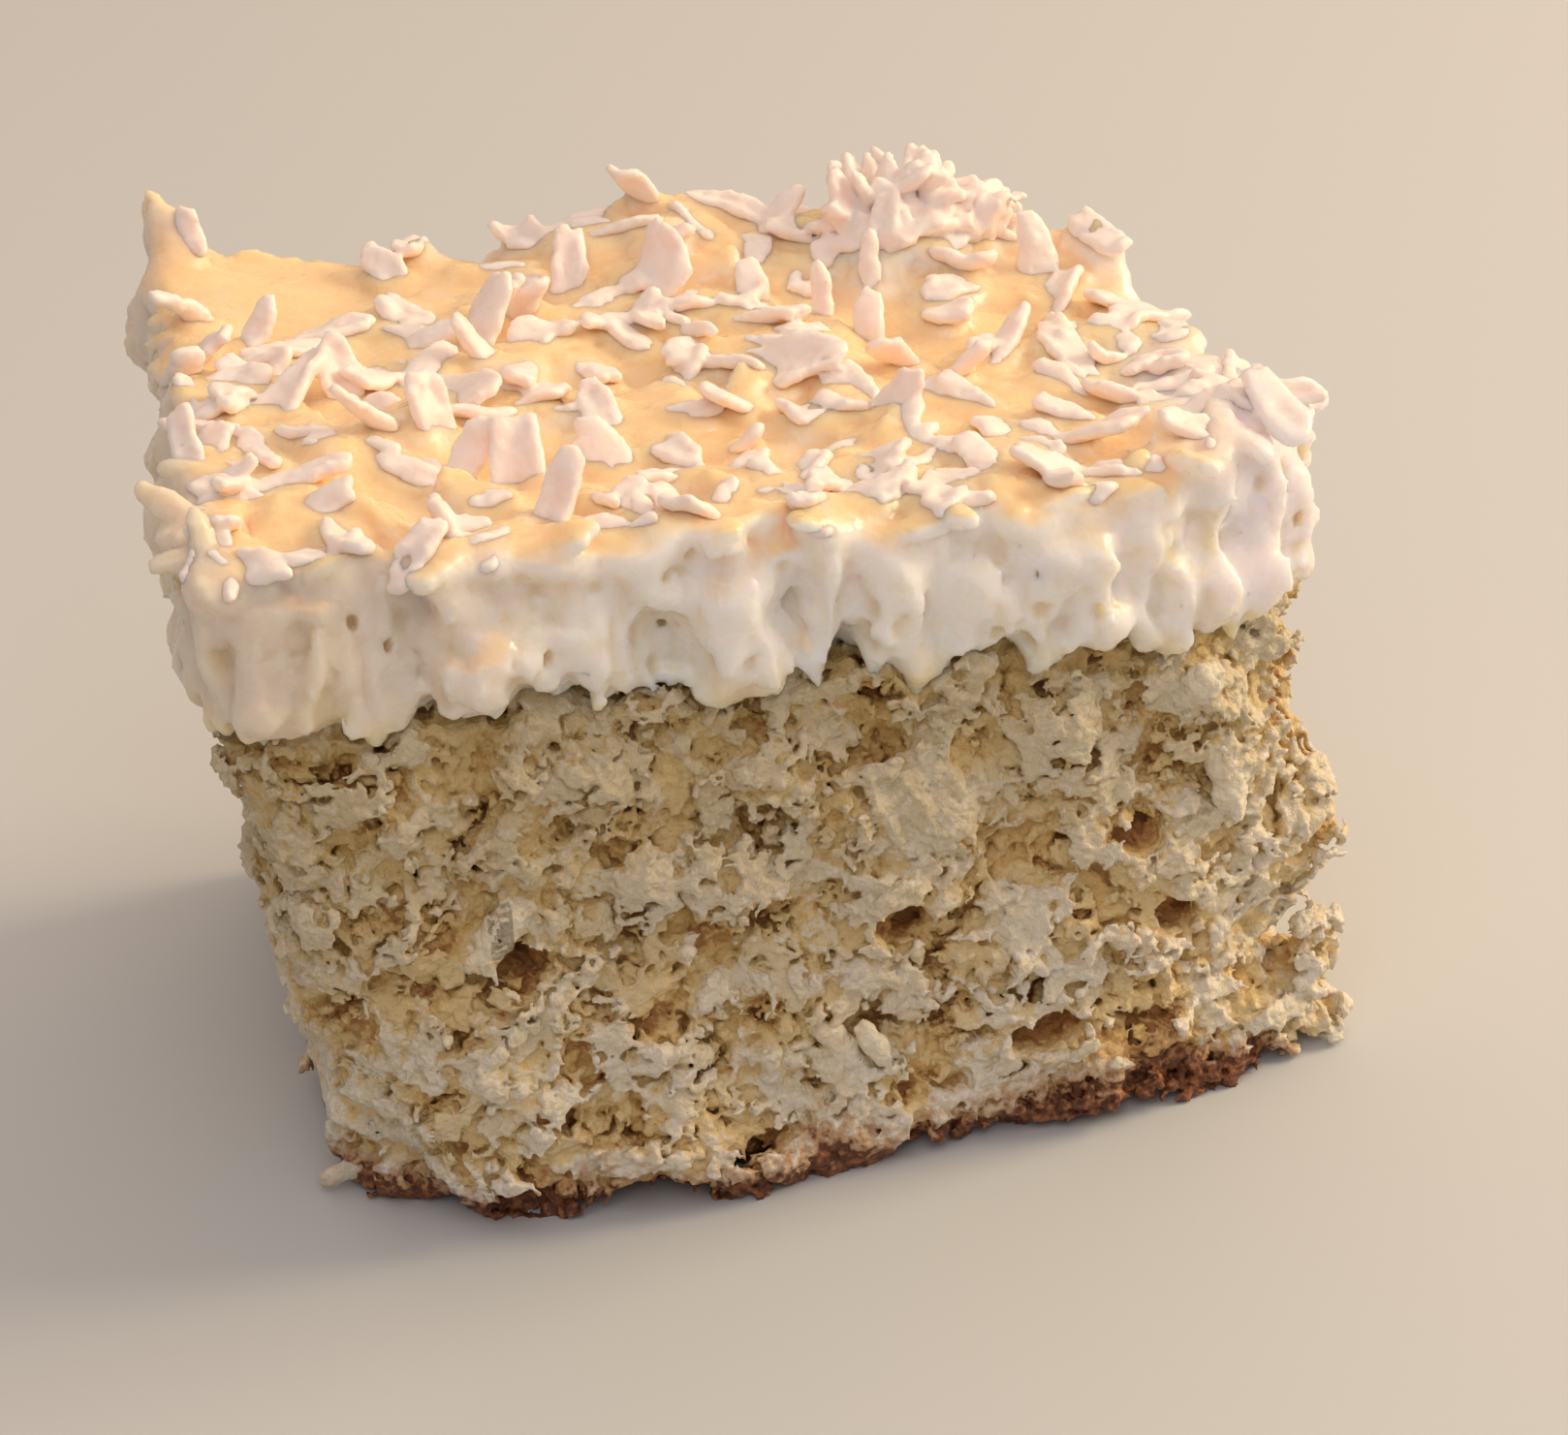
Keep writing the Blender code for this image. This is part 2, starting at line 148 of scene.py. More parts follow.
# Coconut flakes, laid by the same rule as in the solids, with finer slivers between them.
# A flake is X, Y, length, width, heading and rise, in millimetres and degrees.
FLAKE_COUNT = 128
FLAKE_SEED = 7
FLAKE_LENGTHS = (3.2, 6.8)
FLAKE_WIDTHS = (1.3, 2.7)
FLAKE_SPACING = 3.6
CROWDING = 0.9995  # the spacing shrinks by this share at each try
STANDING_SHARE = 0.3
STANDING_RISE = (35.0, 68.0)
LYING_RISE = (4.0, 24.0)
FLAKE_BEDDED = 0.3
LARGE_FLAKES = {
    "broad_chip": (5.0, -3.5, 6.2, 3.6, -25.0, 24.0),
    "tall_chip": (0.5, 8.5, 5.6, 3.4, 60.0, 58.0),
    "hanging_strand": (0.8, 2.6, 4.8, 0.9, -70.0, 20.0),
    "upright_pair_left": (9.0, 4.5, 4.6, 1.2, 75.0, 62.0),
    "upright_pair_right": (12.5, 6.5, 4.4, 1.1, 80.0, 60.0),
    "back_right_chip": (22.5, 6.0, 6.0, 2.3, 85.0, 66.0),
    "oval_chip": (-14.0, -2.5, 6.4, 3.0, -48.0, 16.0),
    "left_chip": (-22.5, -1.5, 6.6, 2.6, 45.0, 22.0),
    "left_upright": (-29.4, -9.5, 5.4, 1.6, 85.0, 60.0),
    "front_left_long": (-24.5, -12.5, 6.6, 1.6, -6.0, 12.0),
    "front_left_second": (-24.2, -15.8, 5.2, 2.0, -4.0, 16.0),
    "front_left_chip": (-12.6, -12.8, 5.6, 3.0, 78.0, 48.0),
    "front_chip": (4.2, -20.5, 5.8, 2.0, 4.0, 20.0),
    "front_right_chip": (18.0, -16.0, 6.4, 3.0, -38.0, 26.0),
    "front_right_long": (20.0, -20.8, 5.4, 1.5, -16.0, 14.0),
    "heap_point": (17.4, 10.8, 5.2, 1.8, 65.0, 68.0),
    "heap_left": (8.5, 13.2, 5.6, 2.0, 20.0, 34.0),
    "heap_middle": (13.0, 12.4, 5.4, 1.9, 110.0, 56.0),
    "heap_right": (20.6, 9.6, 5.2, 1.8, 50.0, 60.0),
    "heap_low": (15.0, 8.0, 5.4, 2.4, 10.0, 30.0),
}
# Frosting without flakes: X, Y, half its length and half its width.
BARE_PATCHES = {
    "back_left": (-15.0, 16.0, 13.0, 5.2),
    "middle_front": (-3.5, -15.0, 8.0, 3.6),
}
SLIVER_COUNT = 70
SLIVER_SEED = 23
SLIVER_LENGTHS = (2.0, 4.8)
SLIVER_WIDTHS = (0.9, 2.1)
SLIVER_RISE = (0.0, 35.0)
RIDGE_FLAKES = 48  # more of them along the front ridge
RIDGE_ANGLES = (200.0, 350.0)
RIDGE_BAND = (-0.6, 3.6)  # how far in from the ridge they lie
HEAP_COUNT = 46  # flakes piled on each other at the back of the slice
HEAP_SEED = 5
HEAP_PLACE = (16.6, 11.0, 7.4, 3.4)  # X, Y, half its length and half its width
HEAP_HEIGHT = 2.4
HEAP_GATHER = 0.6
HEAP_LENGTHS = (2.8, 5.4)
HEAP_WIDTHS = (1.0, 2.2)
HEAP_RISE = (10.0, 72.0)
HEAP_CORE = (5.4, 2.4, 2.2)  # the heap is solid inside these half sizes
HEAP_LUMPS = (1.3, 1.2)
COATED_COUNT = 34  # flakes that the frosting covers
COATED_SEED = 41
COATED_SPREAD = 0.75
COATED_LENGTHS = (2.6, 5.6)
COATED_WIDTHS = (1.0, 2.2)
COATED_RISE = (-12.0, 20.0)
COATED_RIDGE = 40  # more of them along the front ridge
COATED_ANGLES = (195.0, 345.0)
COATED_BAND = (-1.6, 0.9)
LEFT_SPIKES = ((-30.2, -19.4, 3.8, 1.0, 100.0, 65.0), (-31.0, -19.0, 3.6, 0.9, 186.0, 4.0))
FLAKE_LIFT = 0.2
FLAKE_ROLL = 0.5
FLAKE_SEGMENTS = 14
FLAKE_RINGS = 6
FLAKE_SIDES = 6
SIDE_TURN = 0.3  # how far a side turns from its even place, as a share of that place's width
SIDE_DISTANCE = (0.84, 1.08)
FLAKE_CORNER = 7.0
FLAKE_TIP = 1.15
FLAKE_END = 0.7  # the ends are blunter than a circle's
FLAKE_BEND = 0.09
FLAKE_CUP = (-0.08, 0.25)
FLAKE_TWIST = 0.7
TWIST_SHARE = 0.3
FLAKE_RIM = (0.9, 0.36)  # size and depth of the ragged rim
FLAKE_CRUMPLE = (1.6, 0.25)
FLAKE_SLIDE = 9.1
FLAKE_CORE = 0.08
FLAKE_RADIUS = 0.3  # each flake is its core sheet, this much thicker all round
RADIUS_SHARE = 0.6  # the core is smaller than the flake by this share of it
FLAKE_GRAIN = 0.9
FLAKE_ROUGHNESS = 0.5
FLAKE_BURIED = 0.3
FLAKE_VOXEL = 0.25
FLAKE_LEAST = 60  # vertices of the smallest flake that is kept
FLAKE_BLOCK = ((-35.0, -27.0, 36.0), (35.0, 27.0, 48.0))

# Torn crumb. Each layer tore off where its noise passes a level, and what lies below is deeper by
# a drop, with a gap under the edge of the slab that stayed: size, level and drop.
BROAD_SIZE = 6.5
BROAD_DEPTH = 1.2
LAYERS = (
    (2.6, 0.50, 0.4),
    (3.6, 0.535, 0.5),
    (4.8, 0.565, 0.6),
    (2.2, 0.595, 0.5),
    (5.4, 0.61, 0.9),
)
LAYER_SLIDE = (31.0, 17.0, 5.0)
LAYER_EDGE = 0.02
LOBES = ((1.0, 0.17), (0.42, 0.085))
LOBE_MEAN = 0.14  # taken off, so that the lobes only make an edge ragged
LOBE_LAYER = 3.0  # a layer of this size has its lobes at full strength
RIM = 0.05  # how far before its level a layer's rim starts, which is painted paler as a highlight
FLATNESS = 1.15
GAP_WIDTH = 0.05
GAP_SHARE = 1.3
GAP_PATCHES = 3.1
GAP_START = (0.45, 0.6)
# What stands out in the torn front: X, Y, Z, half its length, half its width, and its tilt.
CRUMB_HOLES = {
    "long hole on the left": (-16.9, -21.4, 17.2, 1.8, 1.1, 12.0),
    "round hole on the right": (20.3, -21.2, 12.2, 1.5, 1.3, 0.0),
    "hollow in the middle": (4.1, -22.0, 15.5, 2.0, 1.6, -30.0),
    "hollow over the crust": (12.0, -22.4, 6.9, 2.4, 1.3, 10.0),
    "hollow over the round hole": (18.1, -20.9, 17.8, 1.7, 1.0, -20.0),
    "notch in the foot": (-11.9, -22.0, 0.4, 1.6, 1.5, 0.0),
}
HOLE_DEPTH = 1.9
HOLE_REACH = 4.0
HOLE_WALL = 0.35
SPOT_LOBES = 2.0  # how much more ragged than a layer the rim of a spot is
WHOLE_PLACES = {
    "broad slab": (5.6, -22.5, 22.6, 3.0, 2.7, 60.0),
    "foot of the front": (-1.0, -22.3, 1.5, 3.2, 2.4, 0.0),
}
WHOLE_SHARE = 0.15
WHOLE_RIM = 0.3
CRUMB_LUMPS = {"foot of the right corner": (29.2, -17.0, 5.4, 4.4, 2.5, 78.0)}
LUMP_REACH = 2.8
SHREDS = {
    "shred over the long hole": (-17.9, -21.25, 19.2, 2.6, 1.15, 48.0),
    "shred down the right edge": (23.3, -20.75, 20.4, 3.1, 1.05, -76.0),
    "white lump under the frosting": (21.8, -21.6, 27.2, 1.2, 1.05, 30.0),
    "short shred": (2.2, -22.2, 8.2, 1.8, 0.8, -55.0),
    "second short shred": (0.2, -21.7, 8.6, 1.8, 0.8, -50.0),
    "crumb beside the foot": (-27.0, -14.6, 1.3, 1.6, 0.6, 12.0),
}
SHRED_GRAIN = 1.1
SHRED_ROUGHNESS = 1.1
SHRED_THICKNESS = 0.75
NO_SHRED = -1.0
GRAIN_SIZES = ((0.7, 0.32), (0.36, 0.22))
GRAIN_MEAN = 0.3
FINE_GRAIN = (0.33, 0.16)
SWAY = 0.6
PROUD = 0.4  # how far a crumb may stand out of the cut side

# The sponge is carved in blocks: the X and Y that each runs between, and its voxel size.
FRONT_LINE = -18.7
CRUMB_BLOCKS = {
    "sponge_front_1": ((-40.0, -18.0), (-30.0, FRONT_LINE), 0.18),
    "sponge_front_2": ((-18.0, -7.2), (-30.0, FRONT_LINE), 0.18),
    "sponge_front_3": ((-7.2, 3.6), (-30.0, FRONT_LINE), 0.18),
    "sponge_front_4": ((3.6, 16.2), (-30.0, FRONT_LINE), 0.18),
    "sponge_front_5": ((16.2, 40.0), (-30.0, FRONT_LINE), 0.18),
    "sponge_left": ((-40.0, -20.4), (FRONT_LINE, 30.0), 0.34),
    "sponge_middle": ((-20.4, 0.0), (FRONT_LINE, 30.0), 0.34),
    "sponge_back": ((0.0, 20.4), (FRONT_LINE, 30.0), 0.34),
    "sponge_right": ((20.4, 40.0), (FRONT_LINE, 30.0), 0.3),
}
FROSTING_VOXEL = 0.305
FROSTING_BLOCK = ((-35.0, -26.5, 28.0), (34.0, 26.0, 47.5))
BLOCK_MARGIN = 1.0
BLOCK_OVERLAP = 4.0  # in voxels
DIP = 0.12  # how far a block's surface sinks beyond its own bounds
DIP_WIDTH = 2.5  # in voxels
CRUMB_MERGE = 0.02  # how readily flat places are made of fewer faces
SMOOTH_MERGE = 0.08

# Colours, linear. A pair is a blend's two ends.
WHITE = (1.0, 1.0, 1.0, 1.0)
CRUMB_PALE = ((0.67, 0.59, 0.41, 1.0), (0.73, 0.67, 0.53, 1.0))
CRUMB_SPECK = (0.79, 0.76, 0.66, 1.0)
# Painted highlight along the torn edges of the crumb's layers.
CRUMB_RIM_HIGHLIGHT = (0.82, 0.78, 0.69, 1.0)
# Painted shade: the crumb is painted darker and browner the deeper it lies in the torn hollows.
CRUMB_HOLLOW_SHADES = (
    (0.35, 0.8, (0.73, 0.57, 0.29, 1.0)),
    (1.1, 1.6, (0.66, 0.46, 0.18, 1.0)),
    (1.7, 2.4, (0.44, 0.22, 0.072, 1.0)),
)  # painted shade: how deep in the torn hollows each darker colour starts and is full
CRUMB_TINTS = ((1.03, 1.03, 1.06, 1.0), (0.84, 0.79, 0.67, 1.0))  # dry foot, moist top
MOIST_RISE = (6.0, 32.0)
# How the crust fades with height. It climbs by 0.9 mm in the right half, and is gone at the corner.
CRUST_RISE = (1.3, 2.2, 1.0, 0.0)
TOAST_RISE = (1.8, 4.2, 0.8, 0.0)
CRUST_THICK = (2.0, 10.0, 0.0, 0.9)
CRUST_THICK_END = (20.0, 24.0, 1.0, 0.0)
CRUST_BARE = (24.0, 30.0, 0.0, 4.0)
CRUST_BAKED = ((0.12, 0.038, 0.015, 1.0), (0.34, 0.13, 0.045, 1.0))
CRUST_TOASTED = (0.46, 0.22, 0.07, 1.0)
SHRED_COLOUR = (0.85, 0.79, 0.63, 1.0)
CREAM_HOLLOW_SHADE = ((0.86, 0.77, 0.58, 1.0), (0.92, 0.88, 0.84, 1.0))  # painted shade: darker and yellower in its hollows than on what stands out
CREAM_SHADE = (-0.7, 0.0)
# Painted shade: the cut frosting darkens and yellows towards its left end.
CREAM_LEFT_SHADE = (0.86, 0.80, 0.70, 1.0)
CREAM_LEFT_SHADE_END = (-30.0, -8.0)
CREAM_CORNER = (0.95, 0.96, 1.06, 1.0)
CREAM_FOOT = (0.84, 0.71, 0.46, 1.0)
CREAM_FOOT_RISE = (29.5, 33.0)
# Painted warm light: the frosting is painted orange where it faces up, a little darker in its low
# places as painted shade.
CREAM_WARM_LIT_TOP = ((0.98, 0.66, 0.36, 1.0), (0.985, 0.69, 0.41, 1.0))
FLAKE_WHITE = ((0.93, 0.81, 0.76, 1.0), (0.95, 0.86, 0.82, 1.0))
FLOOR_COLOUR = (0.58, 0.61, 0.63, 1.0)

# Lamps: azimuth from the front, elevation, distance and size in metres, power and colour.
LAMPS = {
    "top_lamp": (150.0, 62.0, 0.7, 1.3, 3.7, (1.0, 0.68, 0.44)),
    "front_window": (-14.0, 52.0, 0.7, 0.5, 1.4, (1.0, 0.88, 0.84)),
    "right_lamp": (87.0, 28.0, 0.6, 0.25, 2.9, (1.0, 0.77, 0.49)),
}
SKY_COLOUR = (1.0, 0.94, 0.92, 1.0)
SKY_STRENGTH = 0.27
FLOOR_HALF = 2.0

# The camera, fitted to the slice's corners: its place in metres, and its turns in degrees.
CAMERA_PLACE = (-0.0506, -0.217, 0.141)
CAMERA_TURN = -14.0
CAMERA_TILT = 61.0
CAMERA_ROLL = -3.0
IMAGE_WIDTH = 1618
FOCAL_PIXELS = 4500
SENSOR_WIDTH = 36.0


class Wire:
    """A node's output, which takes part in sums as a number does."""

    def __init__(self, graph, socket):
        self.graph = graph
        self.socket = socket

    def sum(self, operation, first, second):
        return self.graph.add("ShaderNodeMath", {"operation": operation}, {0: first, 1: second})

    def __add__(self, other):
        return self.sum("ADD", self, other)

    def __radd__(self, other):
        return self.sum("ADD", other, self)

    def __sub__(self, other):
        return self.sum("SUBTRACT", self, other)

    def __rsub__(self, other):
        return self.sum("SUBTRACT", other, self)

    def __mul__(self, other):
        return self.sum("MULTIPLY", self, other)

    def __rmul__(self, other):
        return self.sum("MULTIPLY", other, self)

    def least(self, other):
        return self.sum("MINIMUM", self, other)

    def most(self, other):
        return self.sum("MAXIMUM", self, other)

    def ramp(self, low, high, start=0.0, end=1.0):
        """Runs from start at low to end at high, smoothly, and stays there beyond."""
        settings = {"interpolation_type": "SMOOTHSTEP"}
        values = {"Value": self, "From Min": low, "From Max": high, "To Min": start, "To Max": end}
        return self.graph.add("ShaderNodeMapRange", settings, values)


class Graph:
    """A node tree, to which nodes are added by type, settings and the values of their sockets."""

    def __init__(self, tree):
        self.tree = tree

    def node(self, kind, settings=None, values=None):
        node = self.tree.nodes.new(kind)
        for name, value in (settings or {}).items():
            setattr(node, name, value)
        for key, value in (values or {}).items():
            if isinstance(value, Wire):
                self.tree.links.new(value.socket, node.inputs[key])
            else:
                node.inputs[key].default_value = value
        return node

    def add(self, kind, settings=None, values=None, output=0):
        return Wire(self, self.node(kind, settings, values).outputs[output])

    def vector(self, operation, first, second=(0.0, 0.0, 0.0), output=0):
        settings = {"operation": operation}
        return self.add("ShaderNodeVectorMath", settings, {0: first, 1: second}, output)

    def scaled(self, vector, scale):
        return self.vector("MULTIPLY", vector, scale)

    def moved(self, vector, step):
        return self.vector("ADD", vector, step)

    def noise(self, place, size, detail=2.0, roughness=0.5, output="Fac"):
        values = {"Vector": place, "Scale": 1.0 / size, "Detail": detail, "Roughness": roughness}
        return self.add("ShaderNodeTexNoise", None, values, output)

    def parts(self, vector):
        """The X, Y and Z of a vector."""
        node = self.node("ShaderNodeSeparateXYZ", None, {0: vector})
        return [Wire(self, output) for output in node.outputs]

    def cells(self, place, size):
        """Distance from the middle of the nearest cell."""
        values = {"Vector": place, "Scale": 1.0 / size}
        return self.add("ShaderNodeTexVoronoi", None, values, "Distance")

    def mix(self, share, first, second):
        """A blend of two colours."""
        settings = {"data_type": "RGBA"}
        return self.add("ShaderNodeMix", settings, {0: share, 6: first, 7: second}, 2)


def cut_radius(angle, height):
    """Distance from the axis to the knife cuts, in the direction of angle."""
    total = 0.0
    for azimuth, distance, lean in KNIFE_CUTS.values():
        facing = math.cos(angle - math.radians(azimuth))
        total += (max(facing, 0.0) / (distance + lean * height)) ** CUT_SHARPNESS
    return total ** (-1 / CUT_SHARPNESS)


def even_angles(count):
    """Angles that divide the outline halfway up the slice into equal lengths."""
    fine = np.linspace(0.0, FULL_TURN, 4 * count + 1)
    radii = np.array([cut_radius(angle, SPONGE_HEIGHT / 2) for angle in fine])
    outline = np.stack((radii * np.cos(fine), radii * np.sin(fine)), axis=1)
    walked = np.concatenate(([0.0], np.cumsum(np.linalg.norm(np.diff(outline, axis=0), axis=1))))
    return np.interp(np.linspace(0.0, walked[-1], count, endpoint=False), walked, fine)


def hump(distance, size):
    """A smooth hump, 1 at its middle and near 0 beyond twice its size."""
    return math.exp(-((distance / size) ** 2))


def on_angle(angle, radius, height):
    return Vector((radius * math.cos(angle), radius * math.sin(angle), height))


def sponge_top(x):
    return SPONGE_HEIGHT - SPONGE_FALL * x


def frosting_edge(angle):
    """Height of the ragged lower edge of the frosting."""
    place = on_angle(angle, cut_radius(angle, SPONGE_HEIGHT), SPONGE_HEIGHT)
    ragged = RAGGED_DEPTH * noise.noise(place / RAGGED_SIZE)
    hanging = 0.0
    if place.y < 0:
        hanging = sum(reach * hump(place.x - x, width) for x, width, reach in TONGUES.values())
    return sponge_top(place.x) - SHOULDER / 2 + ragged - hanging


def frosting_top(x, y):
    """Height of the spread frosting, with its lumps, hollows and ripples."""
    height = FROSTING_TOP - FROSTING_FALL * x
    for lump_x, lump_y, size, rise in LUMPS.values():
        height += rise * hump(math.hypot(x - lump_x, y - lump_y), size)
    return height + RIPPLE_HEIGHT * noise.noise(Vector((x, y, 0.0)) / RIPPLE_SIZE)


def ridge_radius(angle):
    """Distance from the axis to the line where the side of the frosting turns into its top."""
    return cut_radius(angle, FROSTING_TOP) + OVERHANG + SIDE_REACH[-1]


def drag_at(place):
    """0 along each ridge that the knife drew down, and larger between the ridges."""
    spot = (place.x / DRAG_WIDTH, place.y / DRAG_WIDTH, place.z / DRAG_LENGTH)
    return abs(noise.noise(Vector(spot)))


def curtain(place, share):
    """Relief of the cut frosting: ridges drawn down by the knife, and tears across them."""
    fade = math.sin(math.pi * (DRAG_FADE[0] + DRAG_FADE[1] * share))
    ridges = DRAG_DEPTH * (DRAG_MIDDLE - drag_at(place)) * fade
    tears = TEAR_DEPTH * noise.noise(place / TEAR_SIZE)
    return ridges + tears * min(1.0 - TEAR_HIGH * share, TEAR_LOW[0] + TEAR_LOW[1] * share)


def tips(place):
    """How far above its plain height the lower edge stands: arcs that meet where a ridge ends."""
    usual, varied = TIP_SHARES
    reach = usual + varied * noise.noise(place / TIP_PATCHES + Vector(TIP_SLIDE))
    crumbled = EDGE_CRUMBLE * noise.noise(place / CRUMBLE_SIZE)
    return TIP_DROP * max(reach, TIP_LEAST) * (drag_at(place) - TIP_MIDDLE * DRAG_MIDDLE) + crumbled


def ridge_wave(ridge):
    """How far the ridge round the top stands above its plain height."""
    return RIDGE_WAVE * noise.noise(ridge / RIDGE_SIZE)


def frosting_side(angle, share):
    """A point on the side of the frosting, at a share of the way up from its lower edge."""
    plain_edge = frosting_edge(angle)
    edge = plain_edge + tips(on_angle(angle, cut_radius(angle, plain_edge), plain_edge))
    ridge = on_angle(angle, ridge_radius(angle), 0.0)
    rise = ridge_wave(ridge) * math.sin(math.pi / 2 * share) ** RIDGE_FADE[0]
    height = edge + share * (frosting_top(ridge.x, ridge.y) - edge) + rise
    reach = np.interp(share, (0.0, *SIDE_SHARE), (EDGE_REACH, *SIDE_REACH))
    radius = cut_radius(angle, height) + OVERHANG + reach
    place = on_angle(angle, radius, height)
    return on_angle(angle, radius + curtain(place, share), height)


def drum(columns, rows):
    """A closed drum of columns and rows, with the column and row of each of its points."""
    mesh = bmesh.new()
    bmesh.ops.create_cone(
        mesh, cap_ends=True, segments=columns, radius1=1.0, radius2=1.0, depth=float(rows)
    )
    upright = [edge for edge in mesh.edges if abs(edge.verts[0].co.z - edge.verts[1].co.z) > 0.5]
    bmesh.ops.subdivide_edges(mesh, edges=upright, cuts=rows - 1, use_grid_fill=True)
    places = {}
    for vert in mesh.verts:
        turn = math.atan2(vert.co.y, vert.co.x) % FULL_TURN
        places[vert] = (round(turn / FULL_TURN * columns) % columns, round(vert.co.z + rows / 2))
    return mesh, places


def placed(name, data):
    """A new object in the scene, at the origin."""
    piece = bpy.data.objects.new(name, data)
    bpy.context.collection.objects.link(piece)
    return piece


def as_object(name, mesh):
    """The mesh as a named object, and frees it."""
    data = bpy.data.meshes.new(name)
    mesh.to_mesh(data)
    mesh.free()
    data.shade_smooth()
    return placed(name, data)


def centred(mesh):
    """Brings a mesh in millimetres to metres, centred as the solids are."""
    bmesh.ops.translate(mesh, vec=(*PLAN_SHIFT, 0.0), verts=mesh.verts)
    bmesh.ops.scale(mesh, vec=(MM, MM, MM), verts=mesh.verts)


def frosting_form():
    """The frosting's form before its fine finish: underside, ragged side and spread top."""
    side_end = SLOPE_ROWS + SIDE_ROWS
    mesh, places = drum(FORM_COLUMNS, side_end + TOP_ROWS)
    angles = even_angles(FORM_COLUMNS)
    ridges = [frosting_side(angle, 1.0) for angle in angles]
    for vert, (column, row) in places.items():
        angle = angles[column]
        if row < SLOPE_ROWS:
            lip = frosting_side(angle, 0.0)
            inner = lip - on_angle(angle, SHOULDER, 0.0)
            inner.z = sponge_top(inner.x) - BEDDED_EDGE
            vert.co = inner.lerp(lip, row / SLOPE_ROWS)
        elif row <= side_end:
            vert.co = frosting_side(angle, (row - SLOPE_ROWS) / SIDE_ROWS)
        else:
            inward = 1.0 - (row - side_end) / (TOP_ROWS + 1)
            place = ridges[column] * inward
            vert.co = Vector((place.x, place.y, frosting_top(place.x, place.y)))
            swirl = Vector((place.x / SWIRL_SIZE[0], place.y / SWIRL_SIZE[1], 0.0))
            vert.co.z += SWIRL_HEIGHT * noise.noise(swirl) * (1.0 - inward**SWIRL_FADE)
            ridge = on_angle(angle, ridge_radius(angle), 0.0)
            vert.co.z += ridge_wave(ridge) * inward ** RIDGE_FADE[1]
    bmesh.ops.recalc_face_normals(mesh, faces=mesh.faces)
    centred(mesh)
    return as_object("frosting_form", mesh)


def sponge_form():
    """A merged copy of the sponge's solid, which the crumb is carved from."""
    mesh = bmesh.new()
    mesh.from_mesh(bpy.data.objects["sponge"].data)
    bmesh.ops.remove_doubles(mesh, verts=mesh.verts, dist=1e-6)
    return as_object("sponge_form", mesh)


def flakes():
    """The flakes of the solids: the large ones, then a scatter."""
    found = list(LARGE_FLAKES.values())
    draw = random.Random(FLAKE_SEED)
    spacing = FLAKE_SPACING
    while len(found) < FLAKE_COUNT:
        angle = draw.uniform(0.0, FULL_TURN)
        radius = ridge_radius(angle) * math.sqrt(draw.uniform(0.0, 1.0))
        x = radius * math.cos(angle)
        y = radius * math.sin(angle)
        standing = draw.random() < STANDING_SHARE
        rise = draw.uniform(*(STANDING_RISE if standing else LYING_RISE))
        length = draw.uniform(*FLAKE_LENGTHS)
        width = draw.uniform(*FLAKE_WIDTHS)
        heading = draw.uniform(0.0, 360.0)
        bare = any(
            math.hypot((x - patch_x) / half_x, (y - patch_y) / half_y) < 1.0
            for patch_x, patch_y, half_x, half_y in BARE_PATCHES.values()
        )
        crowded = any(math.hypot(x - flake[0], y - flake[1]) < spacing for flake in found)
        if not bare and not crowded:
            found.append((x, y, length, width, heading, rise))
        spacing *= CROWDING
    return found


def slivers():
    """Small flakes between the others, then more of them along the front ridge."""
    draw = random.Random(SLIVER_SEED)
    found = []
    for number in range(SLIVER_COUNT + RIDGE_FLAKES):
        angle = draw.uniform(0.0, FULL_TURN)
        radius = ridge_radius(angle) * math.sqrt(draw.uniform(0.0, 1.0))
        if number >= SLIVER_COUNT:
            angle = draw.uniform(*[math.radians(end) for end in RIDGE_ANGLES])
            radius = ridge_radius(angle) - draw.uniform(*RIDGE_BAND)
        length = draw.uniform(*SLIVER_LENGTHS)
        width = draw.uniform(*SLIVER_WIDTHS)
        heading = draw.uniform(0.0, 360.0)
        rise = draw.uniform(*SLIVER_RISE)
        x = radius * math.cos(angle)
        found.append((x, radius * math.sin(angle), length, width, heading, rise))
    return found


def heaped():
    """Flakes piled up at the back, each with the height it lies at in the heap."""
    draw = random.Random(HEAP_SEED)
    middle_x, middle_y, half_x, half_y = HEAP_PLACE
    found = []
    for _ in range(HEAP_COUNT):
        turn = draw.uniform(0.0, FULL_TURN)
        out = draw.random() ** HEAP_GATHER
        x = middle_x + half_x * out * math.cos(turn)
        y = middle_y + half_y * out * math.sin(turn)
        length = draw.uniform(*HEAP_LENGTHS)
        width = draw.uniform(*HEAP_WIDTHS)
        lift = HEAP_HEIGHT * (1.0 - out * out) * draw.random()
        heading = draw.uniform(0.0, 360.0)
        found.append((x, y, length, width, heading, draw.uniform(*HEAP_RISE), lift))
    return found


def coated():
    """Flakes under the frosting: a scatter, then a row along the front ridge."""
    draw = random.Random(COATED_SEED)
    found = []
    for number in range(COATED_COUNT + COATED_RIDGE):
        angle = draw.uniform(0.0, FULL_TURN)
        radius = ridge_radius(angle) * math.sqrt(draw.uniform(0.0, COATED_SPREAD))
        if number >= COATED_COUNT:
            angle = draw.uniform(*[math.radians(end) for end in COATED_ANGLES])
            radius = ridge_radius(angle) + draw.uniform(*COATED_BAND)
        length = draw.uniform(*COATED_LENGTHS)
        width = draw.uniform(*COATED_WIDTHS)
        rise = draw.uniform(*COATED_RISE)
        heading = draw.uniform(0.0, 360.0)
        x = radius * math.cos(angle)
        found.append((x, radius * math.sin(angle), length, width, heading, rise))
    return found + list(LEFT_SPIKES)


